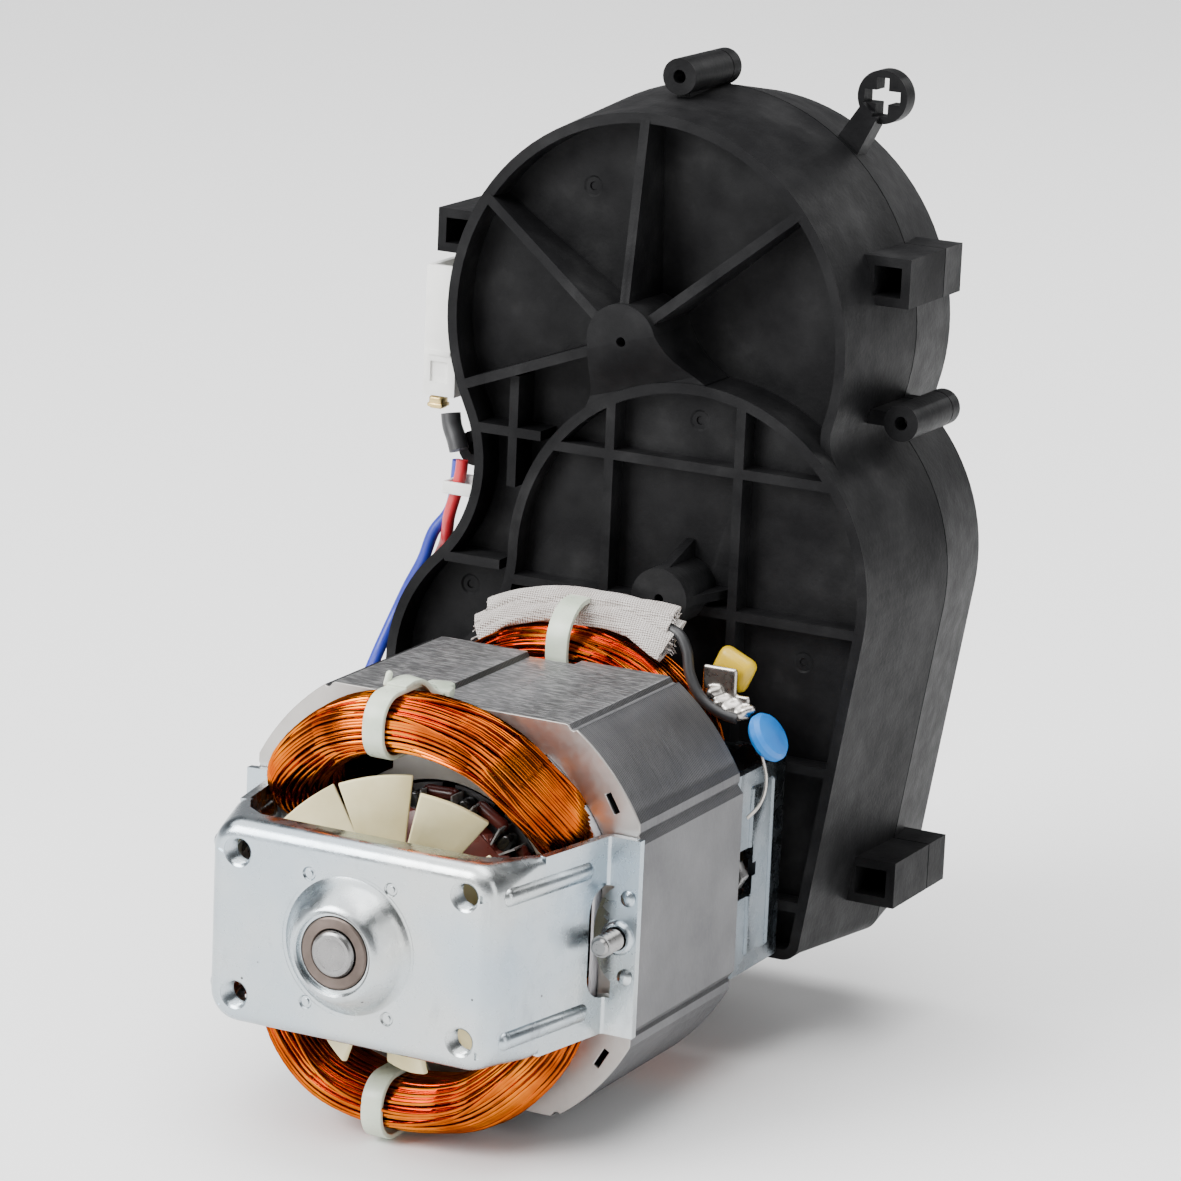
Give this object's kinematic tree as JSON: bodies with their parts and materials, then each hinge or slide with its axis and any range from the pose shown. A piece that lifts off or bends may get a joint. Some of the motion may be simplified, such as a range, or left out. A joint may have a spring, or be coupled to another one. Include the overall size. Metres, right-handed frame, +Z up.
{
  "type": "geared motor",
  "caption": "Brushed universal motor with a laminated stator, bolted to a tall ribbed plastic reduction gearbox with a hexagonal output socket.",
  "frame": {"origin": "middle of the bottom of the whole object's box", "axes": "+Z up; the motor's axis runs along Y, with the gearbox towards +Y and the motor's front bracket towards -Y; +X is to the right seen from the bracket"},
  "size_m": [0.106, 0.149, 0.1762],
  "materials": {
    "zinc_steel": "bright zinc plate with a bluish passivation",
    "lamination_steel": "stamped electrical steel sheets, edges fine-lined",
    "enamelled_copper": "glossy orange-brown enamelled wire",
    "varnished_winding": "dark red varnish",
    "black_plastic": "glass-filled black nylon, mottled satin",
    "gear_plastic": "natural acetal",
    "fan_plastic": "cream moulded nylon",
    "tie_nylon": "milky, slightly green nylon",
    "insulating_paper": "white slot paper",
    "steel": "turned and threaded steel",
    "sintered_bronze": "oil-filled sintered bush",
    "brass": "drawn brass",
    "carbon": "carbon graphite",
    "connector_nylon": "milky white nylon",
    "red_insulation": "smooth silicone",
    "blue_insulation": "smooth silicone",
    "black_insulation": "smooth sleeving",
    "varistor_coating": "bright blue epoxy dip",
    "yellow_tape": "polyester tape",
    "braided_sleeving": "off-white braided glass fibre",
    "tinned_tag": "tinned and soldered"
  },
  "bodies": {
    "housing": {"gearbox_front_shell": "black_plastic", "gearbox_rear_shell": "black_plastic", "shell_screw_1": "steel", "shell_screw_2": "steel", "shell_screw_3": "steel", "shell_screw_4": "steel", "shell_screw_5": "steel", "first_axle": "steel", "second_axle": "steel", "output_pin": "steel", "front_bracket": "zinc_steel", "front_bush": "sintered_bronze", "rear_bracket": "zinc_steel", "rear_bush": "sintered_bronze", "motor_screw_1": "steel", "motor_screw_2": "steel", "motor_screw_3": "steel", "through_bolt_right": "steel", "through_bolt_left": "steel", "stator_core": "lamination_steel", "upper_field_coil": "enamelled_copper", "lower_field_coil": "enamelled_copper", "slot_liner_right": "insulating_paper", "slot_liner_left": "insulating_paper", "front_upper_tie": "tie_nylon", "front_lower_tie": "tie_nylon", "rear_tie": "tie_nylon", "brush_holder_right": "brass", "brush_right": "carbon", "brush_spring_right": "steel", "brush_holder_left": "brass", "brush_left": "carbon", "brush_spring_left": "steel", "braided_sleeve": "braided_sleeving", "black_wire": "black_insulation", "varistor": "varistor_coating", "varistor_lead": "tinned_tag", "taped_suppressor": "yellow_tape", "solder_tag": "tinned_tag", "connector_housing": "connector_nylon", "crimp_terminal": "tinned_tag", "lead_sleeve": "black_insulation", "red_lead": "red_insulation", "blue_lead": "blue_insulation", "lead_clip": "tie_nylon"},
    "rotor": {"rotor_shaft": "steel", "rotor_core": "lamination_steel", "rotor_front_winding": "varnished_winding", "rotor_rear_winding": "varnished_winding", "commutator": "enamelled_copper", "cooling_fan": "fan_plastic", "motor_pinion": "steel"},
    "first_stage": {"first_gear": "gear_plastic"},
    "second_stage": {"second_gear": "gear_plastic"},
    "output_stage": {"output_gear": "gear_plastic"}
  },
  "joints": [
    {"name": "rotor_spin", "type": "hinge", "parent": "housing", "child": "rotor", "pos_m": [0.00227, 0, 0.0398], "axis": [0, 1, 0], "continuous": true},
    {"name": "first_gear_spin", "type": "hinge", "parent": "housing", "child": "first_stage", "pos_m": [-0.01782, 0, 0.05988], "axis": [0, 1, 0], "continuous": true},
    {"name": "second_gear_spin", "type": "hinge", "parent": "housing", "child": "second_stage", "pos_m": [0.01482, 0, 0.08386], "axis": [0, 1, 0], "continuous": true},
    {"name": "output_gear_spin", "type": "hinge", "parent": "housing", "child": "output_stage", "pos_m": [0.00325, 0, 0.12812], "axis": [0, 1, 0], "continuous": true}
  ],
  "couplings": [
    {"joint": "first_gear_spin", "follows": "rotor_spin", "ratio": -0.18333},
    {"joint": "second_gear_spin", "follows": "rotor_spin", "ratio": 0.056183},
    {"joint": "output_gear_spin", "follows": "rotor_spin", "ratio": -0.01832}
  ]
}
